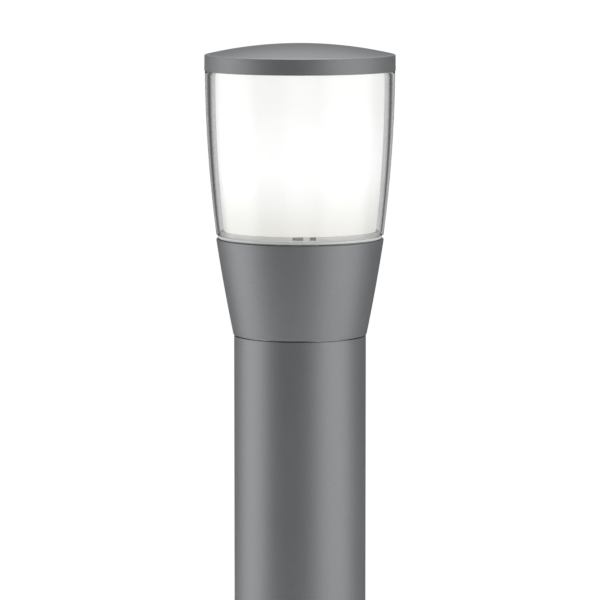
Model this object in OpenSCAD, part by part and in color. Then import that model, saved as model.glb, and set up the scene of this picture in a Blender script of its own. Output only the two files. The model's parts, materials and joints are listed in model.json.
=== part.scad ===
// Bollard light: a tube post, a conical collar and a lantern head that lifts off for relamping.
// Millimetres. +Z is up and the origin is the centre of the base plate's underside.
// The front faces -Y, and the service door is at the back, facing +Y.

/* [Overall] */
// Height from the ground to the top of the domed cap
total_h = 1000; // [800:10:1200]

/* [Post] */
// Outside diameter of the post tube
post_d = 110; // [109.8:0.1:110.2]
// Wall of the post tube
post_wall = 3; // [2.9:0.1:3.1]
// Width of the service opening
door_w = 62; // [58:1:64]
// Height of the service opening
door_h = 180; // [176:1:184]
// Height of the service opening's lower edge above the ground
door_z = 180; // [176:1:184]

/* [Base] */
// Diameter of the base plate
base_d = 170; // [166:1:180]
// Bolt circle of the base plate
base_pcd = 140; // [138:1:142]
// Anchor bolt hole in the base plate
base_hole_d = 11; // [9:0.5:12]
// Conduit hole in the middle of the base plate
conduit_d = 64; // [50:1:70]

/* [Lantern head] */
// Outside diameter of the cap
cap_d = 158.7; // [158.5:0.1:158.9]
// Height of the cap's straight band
band_h = 13.3; // [13:0.1:14]
// Rise of the cap's dome above the band
dome_h = 9.2; // [9:0.1:10]
// Outside diameter of the clear shell under the cap
shell_top_d = 157.7; // [157.5:0.1:157.9]
// Outside diameter of the clear shell above its neck
shell_bottom_d = 139.5; // [139.3:0.1:139.7]
// Visible height of the clear shell
shell_h = 136.5; // [130:0.5:140]
// Outside diameter of the collar's top edge
collar_top_d = 139.6; // [139.4:0.1:139.8]
// Height of the collar above the seam
collar_h = 79.9; // [79:0.1:81]

/* [Lamp] */
// Height of the lamp's tip above the seam, in its holder
lamp_tip_h = 75; // [73:0.5:76]
// Diameter of the lamp's bulb
bulb_d = 60; // [55:1:62]

/* [Hidden] */
$fn = 96;

// Levels, from the ground up
seam_gap = 0.9;
groove_h = 3.2;
post_top = total_h - (seam_gap + collar_h + groove_h + shell_h + band_h + dome_h);
collar_z = post_top + seam_gap;
collar_top = collar_z + collar_h;
shell_z = collar_top + groove_h;
cap_z = shell_z + shell_h;
band_top = cap_z + band_h;

// Post and base
post_r = post_d / 2;
post_ir = post_r - post_wall;
base_r = base_d / 2;
base_edge_h = 7;
base_h = 10;
spigot_r = post_ir - 0.1;
spigot_ir = 45;
spigot_h = 35;
base_screw_z = 28;
base_screw_angles = [90, 210, 330];
weld_gap = 0.05;

// Service door and its bridges
door_gap = 1;
door_corner = 8;
door_inner_r = post_ir + 0.35;
door_screw_inset = 13;
bridge_r = 50.2;
bridge_wall = 3.4;
bridge_w = 16;
door_screw_zs = [door_z + door_screw_inset, door_z + door_h - door_screw_inset];

// Collar
collar_arc_r = 1590;
collar_wall = 3.5;
collar_floor = 4.5;
collar_bottom_r = post_r + 0.6;
bore_r = 63.6;
bore_depth = 21;
set_screw_z = collar_top - 9.5;
set_screw_angles = [30, 150];
collar_screw_r = 38;
collar_screw_angles = [90, 210, 330];
bracket_foot_x = 25;

// Lantern head
shell_arc_r = 1143;
shell_wall_top = 4.3;
shell_wall_bottom = 2.7;
opal_top_r = 70;
opal_bottom_r = 63.2;
opal_wall = 2.4;
neck_r = 68.3;
neck_ir = 60.6;
neck_spigot_r = 63.2;
rim_h = 3.8;
rim_r = 66.7;
seal_h = 1;
channel_h = 8.5;
channel_r = [74.3, 77];
// Pockets in the neck ring's rim, each an angle and a width
neck_slots = [[268.5, 8.5], [279, 5], [28.5, 8.5], [39, 5], [148.5, 8.5], [159, 5]];
cap_wall = 3;
dome_r = (pow(cap_d / 2, 2) + dome_h * dome_h) / (2 * dome_h);
reflector_z = cap_z + 2.6;

// Lamp and its holder
lamp_z = collar_z + lamp_tip_h - seam_gap;
thread_pitch = 3.629;
thread_depth = 1.1;
male_minor_r = 12;
female_major_r = 13.35;
holder_r = 20;
holder_top = lamp_z + 25;
holder_bottom = lamp_z - 20;
bulb_centre = lamp_z + 78;
lamp_joint_z = lamp_z + 60;

// Equipment behind the door
rail_y = -38;
box_w = 54;
box_h = 150;
box_z = door_z + 15;
box_front = 2;
box_back = rail_y;
lid_h = 8;
supply_gland_x = 13;
gland_y = -14;

// Lamp lead: points along its middle line, from the box up to the lamp holder
lead_r = 3.5;
lead_sides = 8;
lead_rise = holder_bottom - 2;
lead_points = [
    [0, -14, 330], [0, -14, 345], [0, -14, 365], [1, -14, 390], [4, -12, 430], [7, -8, 480], [5, -3, 535],
    [-2, 1, 590], [-5, 2, 640], [-2, 1, 690], [0, 0, 725], [0, 0, 750], [0, 0, 780], [0, 0, lead_rise]
];

// The lead's cores: middle lines from the end of its sheath to the fuse and the terminals
core_r = 1.1;
core_routes = [
    [[-1.2, -15.3, 329.6], [-1.2, -16, 326.5], [-1.5, -20, 323.5], [-2, -25, 321.5], [-2, -26, 317],
        [-2, -26, 313.5]],
    [[-1.2, -12.7, 329.6], [-4, -12, 325], [-13, -13, 316], [-18, -17, 300], [-19, -22, 275], [-18, -26, 255],
        [-17.2, -27.8, 244], [-17.2, -27.8, 236]],
    [[1.4, -14, 329.6], [5, -13, 325], [13, -14, 316], [18, -18, 298], [19, -23, 274], [18, -26, 254],
        [17.2, -27.8, 244], [17.2, -27.8, 236]],
    [[0, -26, 264.5], [0, -26, 261], [0, -25.5, 256], [0, -26.5, 248], [0, -27.8, 243], [0, -27.8, 236]]
];

// ---- Helpers ----

// Points along an arc of radius r from a to b, bulging away from the axis when b is above a
function arc_between(a, b, r, n = 24) =
    let (
        d = norm(b - a),
        u = (b - a) / d,
        c = (a + b) / 2 + [-u[1], u[0]] * sqrt(r * r - d * d / 4),
        t0 = atan2(a[1] - c[1], a[0] - c[0]),
        t1 = atan2(b[1] - c[1], b[0] - c[0])
    )
    [for (i = [0:n]) let (t = t0 + (t1 - t0) * i / n) c + r * [cos(t), sin(t)]];

// Points round a centre, from angle t0 to angle t1
function arc_about(c, r, t0, t1, n = 6) =
    [for (i = [0:n]) let (t = t0 + (t1 - t0) * i / n) c + r * [cos(t), sin(t)]];

// Points of the arc of a dome of radius r with its apex at z, from radius x0 out or in to x1
function dome_points(z, r, x0, x1, n = 24) =
    [for (i = [0:n]) let (x = x0 + (x1 - x0) * i / n) [x, z - r + sqrt(r * r - x * x)]];

function reversed(list) = [for (i = [len(list) - 1:-1:0]) list[i]];

module lathe(points) rotate_extrude() polygon(points);

module ring(r_out, r_in, h)
    difference() {
        cylinder(r = r_out, h = h);
        translate([0, 0, -1]) cylinder(r = r_in, h = h + 2);
    }

module at_angles(angles)
    for (a = angles) rotate([0, 0, a]) children();

// Turns what is drawn along +Z so that it points away from the axis, along +X
module radially(r, z)
    translate([r, 0, z]) rotate([0, 90, 0]) children();

// Turns what is drawn along +Z so that it points along +Y
module towards_door(x, y, z)
    translate([x, y, z]) rotate([-90, 0, 0]) children();

module rounded_rect(w, h, r) {
    square([w - 2 * r, h], center = true);
    square([w, h - 2 * r], center = true);
    for (x = [-1, 1], y = [-1, 1]) translate([x * (w / 2 - r), y * (h / 2 - r)]) circle(r = r);
}

// A block with rounded corners, w by h in the XZ plane, running along +Y from y0 for depth
module slab(w, h, r, y0, depth, z)
    translate([0, y0 + depth, z + h / 2]) rotate([90, 0, 0]) linear_extrude(depth) rounded_rect(w, h, r);

// Screws point down, with the underside of the head at z = 0
module cap_screw(d, l, head_d, head_h, key)
    difference() {
        union() {
            translate([0, 0, -l]) cylinder(d = d, h = l);
            cylinder(d = head_d, h = head_h);
        }
        translate([0, 0, head_h * 0.4]) cylinder(d = key, h = head_h, $fn = 6);
    }

// A countersunk screw points down, with its flat head at z = 0
module flat_screw(d, l, head_d, key) {
    cone_h = (head_d - d) / 2;
    difference() {
        union() {
            translate([0, 0, -l]) cylinder(d = d, h = l);
            translate([0, 0, -cone_h]) cylinder(d1 = d, d2 = head_d, h = cone_h);
        }
        translate([0, 0, -1.6]) cylinder(d = key, h = 3, $fn = 6);
    }
}

module countersink(d, head_d, depth) {
    cone_h = (head_d - d) / 2;
    translate([0, 0, -depth]) cylinder(d = d, h = depth + 1);
    translate([0, 0, -cone_h]) cylinder(d1 = d, d2 = head_d, h = cone_h);
    cylinder(d = head_d, h = 3);
}

module hex_nut(af, h, bore)
    difference() {
        cylinder(d = af / cos(30), h = h, $fn = 6);
        translate([0, 0, -1]) cylinder(d = bore, h = h + 2);
    }

// A cable gland standing on a wall at z = 0, with its thread going down through the wall
module gland(thread_d, af, bore, thread_l) {
    difference() {
        union() {
            translate([0, 0, -thread_l]) cylinder(d = thread_d, h = thread_l);
            cylinder(d = af / cos(30), h = 5, $fn = 6);
            translate([0, 0, 5]) cylinder(d = af * 0.9, h = 2);
            translate([0, 0, 7]) lathe(concat(
                [[0, 0], [af / 2, 0], [af / 2, 5]],
                arc_about([af / 2 - 4, 5], 4, 0, 80, 8),
                [[0, 9]]
            ));
        }
        translate([0, 0, -thread_l - 1]) cylinder(d = bore, h = thread_l + 20);
    }
}

// ---- A rounded thread, as one closed band between z0 and z1 ----

function fade(z, z0, z1) = max(0, min(1, (z - z0) / thread_pitch, (z1 - z) / thread_pitch));

function wave(z, t) = 0.5 + 0.5 * cos(360 * (z - lamp_z) / thread_pitch - t);

// Radius of the lamp's thread, and of the groove that it turns in
function male_r(z, t, z0, z1) = male_minor_r + thread_depth * fade(z, z0, z1) * wave(z, t);

function female_r(z, t, z0, z1) = female_major_r - thread_depth * fade(z, z0, z1) * (1 - wave(z, t));

// A tube whose thread is outside when male and inside when not; plain_r is the other wall
module threaded_tube(z0, z1, plain_r, male, sides = 36, steps_per_turn = 8) {
    n = ceil((z1 - z0) / thread_pitch * steps_per_turn);
    thread = [
        for (j = [0:n], i = [0:sides - 1])
            let (
                z = z0 + (z1 - z0) * j / n,
                t = 360 * i / sides,
                r = male ? male_r(z, t, z0, z1) : female_r(z, t, z0, z1)
            )
            [r * cos(t), r * sin(t), z]
    ];
    plain = [
        for (z = [z0, z1], i = [0:sides - 1])
            let (t = 360 * i / sides)
            [plain_r * cos(t), plain_r * sin(t), z]
    ];
    base = len(thread);
    function at(j, i) = j * sides + i % sides;
    function on_plain(k, i) = base + k * sides + i % sides;
    threaded_wall = [for (j = [0:n - 1], i = [0:sides - 1]) each [
        [at(j, i), at(j + 1, i), at(j + 1, i + 1)],
        [at(j, i), at(j + 1, i + 1), at(j, i + 1)]
    ]];
    plain_wall = [for (i = [0:sides - 1]) each [
        [on_plain(0, i), on_plain(1, i + 1), on_plain(1, i)],
        [on_plain(0, i), on_plain(0, i + 1), on_plain(1, i + 1)]
    ]];
    lower_end = [for (i = [0:sides - 1]) each [
        [at(0, i), at(0, i + 1), on_plain(0, i + 1)],
        [at(0, i), on_plain(0, i + 1), on_plain(0, i)]
    ]];
    upper_end = [for (i = [0:sides - 1]) each [
        [at(n, i), on_plain(1, i), on_plain(1, i + 1)],
        [at(n, i), on_plain(1, i + 1), at(n, i + 1)]
    ]];
    faces = concat(threaded_wall, plain_wall, lower_end, upper_end);
    polyhedron(concat(thread, plain), male ? faces : [for (f = faces) reversed(f)], convexity = 8);
}

// ---- Swept tube for the lead ----

function spline(p0, p1, p2, p3, t) =
    0.5 * (2 * p1 + (p2 - p0) * t + (2 * p0 - 5 * p1 + 4 * p2 - p3) * t * t
        + (3 * p1 - p0 - 3 * p2 + p3) * t * t * t);

function smooth_route(p, per) =
    let (n = len(p) - 1)
    concat(
        [for (i = [0:n - 1], k = [0:per - 1])
            spline(p[max(i - 1, 0)], p[i], p[i + 1], p[min(i + 2, n)], k / per)],
        [p[n]]
    );

module swept_tube(route, r, sides) {
    n = len(route) - 1;
    points = [
        for (i = [0:n], k = [0:sides - 1])
            let (
                along = route[min(i + 1, n)] - route[max(i - 1, 0)],
                u = cross([0, 1, 0], along),
                a = u / norm(u),
                w = cross(along, a),
                b = w / norm(w),
                t = 360 * k / sides
            )
            route[i] + r * (cos(t) * a + sin(t) * b)
    ];
    side_faces = [for (i = [0:n - 1], k = [0:sides - 1]) let (m = (k + 1) % sides) each [
        [i * sides + k, (i + 1) * sides + k, (i + 1) * sides + m],
        [i * sides + k, (i + 1) * sides + m, i * sides + m]
    ]];
    ends = [
        [for (k = [0:sides - 1]) k],
        [for (k = [sides - 1:-1:0]) n * sides + k]
    ];
    polyhedron(points, concat(side_faces, ends), convexity = 4);
}

// ---- Lantern head ----

module cap() color("dimgray") {
    edge = 0.8;
    r = cap_d / 2;
    boss_z = reflector_z + 1.2;
    lathe(concat(
        [[channel_r[1], cap_z], [r - 0.5, cap_z], [r, cap_z + 0.5], [r - 0.1, band_top - edge]],
        arc_about([r - 0.1 - edge, band_top - edge], edge, 0, 75),
        dome_points(total_h, dome_r, r - 1.4, 0),
        dome_points(total_h - cap_wall, dome_r, 0, 70.5),
        [[70.8, cap_z + channel_h + 1], [70.8, cap_z + 3.4], [channel_r[0], cap_z + 3.4]],
        [[channel_r[0], cap_z + channel_h], [channel_r[1], cap_z + channel_h]]
    ));
    difference() {
        translate([0, 0, boss_z]) cylinder(r = 6, h = total_h - cap_wall + 1 - boss_z);
        translate([0, 0, boss_z - 1]) cylinder(r = 1.9, h = 13);
    }
}

module cap_bond() color("lightgray")
    translate([0, 0, cap_z + 7]) ring(channel_r[1], channel_r[0], channel_h - 7);

module reflector_disc() color("white")
    difference() {
        lathe([
            [0, reflector_z], [58, reflector_z], [62, reflector_z - 4], [66.6, reflector_z - 4],
            [67, reflector_z - 1.2], [70.6, reflector_z - 1.2], [70.6, reflector_z], [66, reflector_z],
            [65.6, reflector_z - 2.8], [62.6, reflector_z - 2.8], [58.6, reflector_z + 1.2],
            [0, reflector_z + 1.2]
        ]);
        translate([0, 0, reflector_z - 1]) cylinder(r = 2.2, h = 4);
    }

module reflector_screw() color("silver")
    translate([0, 0, reflector_z]) mirror([0, 0, 1]) cap_screw(3.8, 11, 8, 2.6, 2.9);

module clear_shell() color("lightcyan", 0.4) {
    foot = 1.5;
    r = shell_bottom_d / 2;
    top = shell_top_d / 2;
    lathe(concat(
        [[r - shell_wall_bottom, shell_z], [r - foot, shell_z]],
        arc_about([r - foot, shell_z + foot], foot, -80, 0),
        arc_between([r, shell_z + foot + 0.2], [top, cap_z], shell_arc_r),
        [[channel_r[1] - 0.4, cap_z], [channel_r[1] - 0.4, cap_z + 7], [channel_r[0] + 0.4, cap_z + 7]],
        reversed(arc_between([r - shell_wall_bottom, shell_z + 1], [top - shell_wall_top, cap_z], shell_arc_r))
    ));
}

module opal_shell() color("white") {
    z0 = shell_z + rim_h;
    z1 = reflector_z - 1.2;
    lathe(concat(
        arc_between([opal_bottom_r, z0], [opal_top_r, z1], shell_arc_r),
        reversed(arc_between([opal_bottom_r - opal_wall, z0], [opal_top_r - opal_wall, z1], shell_arc_r))
    ));
}

module neck_ring() color("gainsboro") {
    flange_z = collar_top + seal_h;
    difference() {
        lathe([
            [neck_ir, collar_top - bore_depth + 2], [neck_spigot_r - 0.6, collar_top - bore_depth + 2],
            [neck_spigot_r, collar_top - bore_depth + 3], [neck_spigot_r, flange_z], [neck_r, flange_z],
            [neck_r, shell_z], [rim_r, shell_z], [rim_r, shell_z + rim_h - 0.4],
            [rim_r - 0.4, shell_z + rim_h], [neck_ir, shell_z + rim_h]
        ]);
        for (slot = neck_slots)
            rotate(slot[0]) translate([63.6, -slot[1] / 2, shell_z + rim_h - 2.6]) cube([5, slot[1], 4]);
    }
}

module neck_bond() color("whitesmoke")
    translate([0, 0, shell_z]) ring(shell_bottom_d / 2 - shell_wall_bottom, rim_r, 0.8);

module head_seal() color("lightgray")
    translate([0, 0, collar_top]) ring(66.6, bore_r + 0.2, seal_h);

// ---- Collar ----

function collar_outline(inset, z0, z1) =
    let (all = arc_between(
        [collar_bottom_r - inset, collar_z], [collar_top_d / 2 - inset, collar_top], collar_arc_r, 40))
    [for (p = all) if (p[1] > z0 && p[1] < z1) p];

module collar() color("dimgray") {
    edge = 0.6;
    floor_top = collar_z + collar_floor;
    difference() {
        lathe(concat(
            [[0, collar_z], [collar_bottom_r - edge, collar_z]],
            [[collar_bottom_r - 0.1, collar_z + edge]],
            collar_outline(0, collar_z + edge, collar_top - edge),
            [[collar_top_d / 2 - 0.1, collar_top - edge], [collar_top_d / 2 - edge, collar_top]],
            [[bore_r, collar_top], [bore_r, collar_top - bore_depth]],
            reversed(collar_outline(collar_wall, floor_top + 2, collar_top - bore_depth)),
            [[49.5, floor_top], [0, floor_top]]
        ));
        translate([0, 0, collar_z - 1]) cylinder(r = 8.2, h = 10);
        at_angles(collar_screw_angles)
            translate([collar_screw_r, 0, collar_z - 1]) cylinder(r = 2.75, h = 10);
        for (x = [-bracket_foot_x, bracket_foot_x])
            translate([x, 0, collar_z + 1]) cylinder(r = 2, h = 10);
        at_angles(set_screw_angles) radially(60, set_screw_z) cylinder(r = 2.5, h = 20);
    }
}

module head_set_screws() color("silver")
    at_angles(set_screw_angles) radially(bore_r - 0.15, set_screw_z)
        difference() {
            cylinder(r = 2.4, h = 4.6);
            translate([0, 0, 2.2]) cylinder(d = 2.9, h = 3, $fn = 6);
        }

module collar_screws() color("silver")
    at_angles(collar_screw_angles)
        translate([collar_screw_r, 0, collar_z + collar_floor + 1]) cap_screw(4.9, 12, 8.5, 5, 4.6);

module collar_washers() color("silver")
    at_angles(collar_screw_angles)
        translate([collar_screw_r, 0, collar_z + collar_floor]) ring(5, 2.65, 1);

// ---- Lamp holder ----

module holder_bracket() color("silver") {
    t = 2;
    w = 24;
    foot_z = collar_z + collar_floor;
    top_z = holder_bottom - t;
    difference() {
        union() {
            translate([-18, -w / 2, top_z]) cube([36, w, t]);
            for (s = [-1, 1]) {
                translate([s > 0 ? 16 : -18, -w / 2, foot_z]) cube([t, w, top_z - foot_z + 1]);
                translate([s > 0 ? 16 : -32, -w / 2, foot_z]) cube([16, w, t]);
            }
        }
        translate([0, 0, top_z - 1]) cylinder(r = 5.15, h = 4);
        for (x = [-bracket_foot_x, bracket_foot_x])
            translate([x, 0, foot_z - 1]) cylinder(r = 2.3, h = 4);
    }
}

module bracket_screws() color("silver")
    for (x = [-bracket_foot_x, bracket_foot_x])
        translate([x, 0, collar_z + collar_floor + 2]) cap_screw(3.9, 5, 7, 2.8, 2.9);

module holder_nipple() color("goldenrod") {
    z = holder_bottom - 8;
    difference() {
        union() {
            translate([0, 0, z]) cylinder(r = 5, h = 15);
            translate([0, 0, holder_bottom - 5]) cylinder(d = 14 / cos(30), h = 3, $fn = 6);
        }
        translate([0, 0, z - 1]) cylinder(r = 3.9, h = 20);
    }
}

module holder_body() color("ivory")
    difference() {
        lathe(concat(
            [[0, holder_bottom], [holder_r - 5, holder_bottom]],
            arc_about([holder_r - 5, holder_bottom + 4], 4, -80, 0),
            [[holder_r - 1, holder_bottom + 5], [holder_r - 1, lamp_z - 2], [holder_r, lamp_z]],
            arc_about([holder_r - 1.5, holder_top - 1.5], 1.5, 0, 90),
            [[15.4, holder_top], [14.4, holder_top - 1], [14.4, lamp_z - 2.5], [0, lamp_z - 2.5]]
        ));
        translate([0, 0, holder_bottom - 1]) cylinder(r = 5.15, h = 9);
        translate([0, 0, holder_bottom + 7.5]) cylinder(r = 13, h = 6);
        translate([0, 0, lamp_z - 8]) cylinder(r = 2.1, h = 8);
    }

module holder_sleeve() color("gold")
    threaded_tube(lamp_z - 2.5, lamp_z + 23.6, 14.3, false);

module holder_contact() color("gold") {
    translate([0, 0, lamp_z - 2.5]) cylinder(r = 5.5, h = 1.1);
    translate([0, 0, lamp_z - 7.5]) cylinder(r = 1.9, h = 5.6);
    translate([0, 0, lamp_z - 1.6]) cylinder(r1 = 3, r2 = 2.2, h = 1.6);
}

module collar_gland() color("black")
    translate([0, 0, collar_z + collar_floor]) gland(16, 20, 7.6, 10);

module collar_gland_nut() color("black")
    translate([0, 0, collar_z - 4]) hex_nut(19, 4, 16.1);

// ---- Lamp ----

module lamp_contact() color("silver")
    lathe(concat(
        [[0, lamp_z], [3.6, lamp_z]],
        arc_about([3.6, lamp_z + 1.1], 1.1, -80, 0),
        [[4.7, lamp_z + 1.8], [0, lamp_z + 1.8]]
    ));

module lamp_insulator() color("black")
    lathe([
        [0, lamp_z + 1.8], [5.2, lamp_z + 1.8], [11, lamp_z + 5], [11.4, lamp_z + 6.5], [0, lamp_z + 6.5]
    ]);

module lamp_screw_cap() color("silver")
    threaded_tube(lamp_z + 5, lamp_z + 24, 11.5, true);

module lamp_body() color("white") {
    r = bulb_d / 2;
    z0 = lamp_z + 20;
    joint_r = sqrt(r * r - pow(bulb_centre - lamp_joint_z, 2));
    lathe(concat(
        [[0, z0], [11.3, z0], [11.3, lamp_z + 24.2], [13.2, lamp_z + 24.2], [14, lamp_z + 26]],
        arc_between([17, lamp_z + 29], [joint_r, lamp_joint_z], 90, 16),
        [[joint_r - 1.5, lamp_joint_z], [joint_r - 1.5, lamp_joint_z - 3], [joint_r - 5, lamp_joint_z - 3]],
        [[15, lamp_z + 31], [11, lamp_z + 27], [0, lamp_z + 27]]
    ));
}

module lamp_led_board() color("whitesmoke") {
    z = lamp_joint_z - 3;
    translate([0, 0, z]) cylinder(r = 22.3, h = 1.6);
    at_angles([0:30:330]) translate([13, -1.4, z + 1.6]) cube([2.8, 2.8, 0.8]);
}

module lamp_dome() color("white") {
    r = bulb_d / 2;
    t = 1.2;
    low = lamp_joint_z;
    a = asin((low - bulb_centre) / r);
    b = asin((low - bulb_centre) / (r - t));
    lathe(concat(
        arc_about([0, bulb_centre], r, a, 90, 30),
        arc_about([0, bulb_centre], r - t, 90, b, 30)
    ));
}

// ---- Post ----

module post_ring() color("dimgray") {
    web = 7;
    difference() {
        lathe([
            [28, post_top - web], [46, post_top - web], [46, post_top - 24], [spigot_r - 0.6, post_top - 24],
            [spigot_r, post_top - 23], [spigot_r, collar_z], [28, collar_z]
        ]);
        at_angles(collar_screw_angles)
            translate([collar_screw_r, 0, post_top - web - 1]) cylinder(r = 2.5, h = web + 4);
    }
}

module post_tube() color("dimgray") {
    edge = 0.4;
    difference() {
        lathe([
            [post_ir, base_h], [post_r, base_h], [post_r, post_top - edge], [post_r - edge, post_top],
            [post_ir, post_top]
        ]);
        slab(door_w, door_h, door_corner, 20, 60, door_z);
        at_angles(base_screw_angles) radially(post_r - 0.5, base_screw_z) countersink(6.4, 11.2, 5);
    }
}

// What a flat cutter of the door's outline leaves between two radii of the tube's wall
module wall_panel(w, h, corner, r_in, r_out, z)
    intersection() {
        slab(w, h, corner, 20, 60, z);
        translate([0, 0, z - 1]) ring(r_out, r_in, h + 2);
    }

module service_door() color("dimgray")
    difference() {
        wall_panel(door_w - 2 * door_gap, door_h - 2 * door_gap, door_corner - door_gap,
            door_inner_r, post_r, door_z + door_gap);
        for (z = door_screw_zs) towards_door(0, post_r - 0.4, z) countersink(5.2, 9.6, 8);
    }

module door_screws() color("silver")
    for (z = door_screw_zs) towards_door(0, post_r - 0.45, z) flat_screw(4.8, 14, 9.2, 3.5);

module door_bridges() color("silver")
    for (z = door_screw_zs)
        difference() {
            union() {
                translate([0, 0, z - bridge_w / 2]) bridge_strap(bridge_r, bridge_r - bridge_wall, 60, 60);
                translate([0, 0, z - bridge_w / 2]) bridge_strap(post_ir - weld_gap, bridge_r - 0.5, 60, 6);
                towards_door(0, bridge_r - 9, z) cylinder(r = 5, h = 7);
            }
            towards_door(0, 20, z) cylinder(r = 2.6, h = 40);
        }

// Both ends of a strap inside the tube: from half_angle inwards by span degrees, each side of +Y
module bridge_strap(r_out, r_in, half_angle, span) {
    sector = [for (a = [0:span / 6:span]) 80 * [sin(half_angle - a), cos(half_angle - a)]];
    intersection() {
        ring(r_out, r_in, bridge_w);
        union() for (s = [0, 1]) mirror([s, 0, 0])
            translate([0, 0, -1]) linear_extrude(bridge_w + 2) polygon(concat([[0, 0]], sector));
    }
}

module door_seal() color("black")
    difference() {
        wall_panel(door_w + 12, door_h + 12, door_corner + 6, bridge_r + 0.1, post_ir - weld_gap, door_z - 6);
        slab(door_w - 7, door_h - 7, door_corner - 2, 10, 60, door_z + 3.5);
    }

// ---- Equipment behind the door ----

module equipment_rail() color("silver") {
    t = 1.5;
    w = 40;
    h = 215;
    z = door_z;
    wall_y = sqrt(post_ir * post_ir - w * w / 4) - 0.1;
    translate([-w / 2, rail_y - t, z]) cube([w, t, h]);
    for (s = [0, 1]) mirror([s, 0, 0])
        translate([w / 2 - t, -wall_y, z]) cube([t, wall_y + rail_y - t + 0.5, h]);
}

module junction_box() color("gray") {
    wall = 2.2;
    difference() {
        slab(box_w, box_h, 5, box_back, box_front - box_back, box_z);
        slab(box_w - 2 * wall, box_h - 2 * wall, 3, box_back + wall, 60, box_z + wall);
        for (x = [-supply_gland_x, supply_gland_x])
            translate([x, gland_y, box_z - 1]) cylinder(r = 8.1, h = 6);
        translate([0, gland_y, box_z + box_h - 5]) cylinder(r = 8.1, h = 8);
    }
    at_lid_corners(box_front - 8)
        difference() {
            cylinder(r = 4, h = 8);
            translate([0, 0, 1]) cylinder(r = 1.6, h = 8);
        }
}

// The four corners of the box's lid, pointing towards the door
module at_lid_corners(y)
    for (x = [-1, 1], z = [-1, 1])
        towards_door(x * (box_w / 2 - 5.5), y, box_z + box_h / 2 + z * (box_h / 2 - 5.5)) children();

module box_seal() color("black")
    difference() {
        slab(box_w - 0.4, box_h - 0.4, 4.8, box_front, 0.8, box_z + 0.2);
        slab(box_w - 4.4, box_h - 4.4, 3, box_front - 1, 4, box_z + 2.2);
        at_lid_corners(box_front - 1) cylinder(r = 1.9, h = 4);
    }

module junction_box_lid() color("lightblue", 0.4) {
    wall = 2;
    y0 = box_front + 0.8;
    difference() {
        union() {
            slab(box_w, box_h, 5, y0, lid_h - 2, box_z);
            slab(box_w - 3, box_h - 3, 4, y0, lid_h, box_z + 1.5);
        }
        difference() {
            slab(box_w - 2 * wall, box_h - 2 * wall, 3, y0 - 1, lid_h - wall + 1, box_z + wall);
            at_lid_corners(y0 - 1) cylinder(r = 4.2, h = 12);
        }
        at_lid_corners(y0 - 1) cylinder(r = 1.9, h = 20);
    }
}

module lid_screws() color("silver")
    at_lid_corners(box_front + 0.8 + lid_h) cap_screw(3, 14, 5.8, 2.4, 2.6);

module terminal_block() color("lightgray") {
    poles = 5;
    pitch = 8.6;
    depth = 20;
    z = box_z + 26;
    y = box_back + 2.2;
    difference() {
        union() {
            translate([-poles * pitch / 2, y, z]) cube([poles * pitch, depth, 12]);
            translate([-poles * pitch / 2, y, z + 12]) cube([poles * pitch, depth - 6, 8]);
            translate([-poles * pitch / 2, y, z - 8]) cube([poles * pitch, depth - 6, 8.5]);
            for (i = [0:poles])
                translate([(i - poles / 2) * pitch - 0.5, y, z - 8]) cube([1, depth + 1, 28]);
        }
        for (i = [0:poles - 1]) translate([(i + 0.5 - poles / 2) * pitch, 0, 0]) {
            translate([0, y + 8, z - 10]) cylinder(r = 2.4, h = 8);
            translate([0, y + 8, z + 14]) cylinder(r = 2.4, h = 8);
            towards_door(0, y + depth - 5, z + 6) cylinder(r = 2.7, h = 8);
        }
    }
}

module terminal_screws() color("gold")
    for (i = [0:4]) towards_door((i - 2) * 8.6, box_back + 2.2 + 15, box_z + 32)
        difference() {
            cylinder(r = 2.5, h = 3);
            translate([-3, -0.4, 2]) cube([6, 0.8, 2]);
        }

module fuse_carrier() color("white") {
    y = box_back + 2.2;
    z = box_z + 66;
    difference() {
        union() {
            slab(20, 56, 2, y, 22, z);
            slab(14, 30, 3, y, 28, z + 13);
        }
        slab(11, 46, 1, y + 4, 16, z + 5);
        towards_door(0, y + 19, z + 28) cylinder(r = 3, h = 12);
        translate([-2, -26, z + 50]) cylinder(r = 1.8, h = 8);
        translate([0, -26, z - 2]) cylinder(r = 1.8, h = 8);
    }
}

module fuse_link() color("ivory")
    translate([0, box_back + 2.2 + 12, box_z + 66 + 9]) {
        cylinder(r = 5.1, h = 10);
        translate([0, 0, 9]) cylinder(r = 4.7, h = 20);
        translate([0, 0, 28]) cylinder(r = 5.1, h = 10);
    }

module supply_glands() color("black")
    for (x = [-supply_gland_x, supply_gland_x])
        translate([x, gland_y, box_z]) mirror([0, 0, 1]) gland(16, 22, 10.5, 7);

module lead_gland() color("black")
    translate([0, gland_y, box_z + box_h]) gland(16, 20, 7.6, 7);

module lamp_lead() color("black")
    swept_tube(smooth_route(lead_points, 3), lead_r, lead_sides);

module lead_cores() color("steelblue")
    for (route = core_routes) swept_tube(smooth_route(route, 3), core_r, lead_sides);

module earth_stud() color("gold")
    towards_door(13, rail_y, door_z + 196) cylinder(r = 3, h = 16);

module earth_nuts() color("silver")
    for (y = [1, 8]) towards_door(13, rail_y + y, door_z + 196) {
        hex_nut(10, 5, 6.1);
        translate([0, 0, -1]) ring(6, 3.05, 1);
    }

// ---- Base ----

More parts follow.
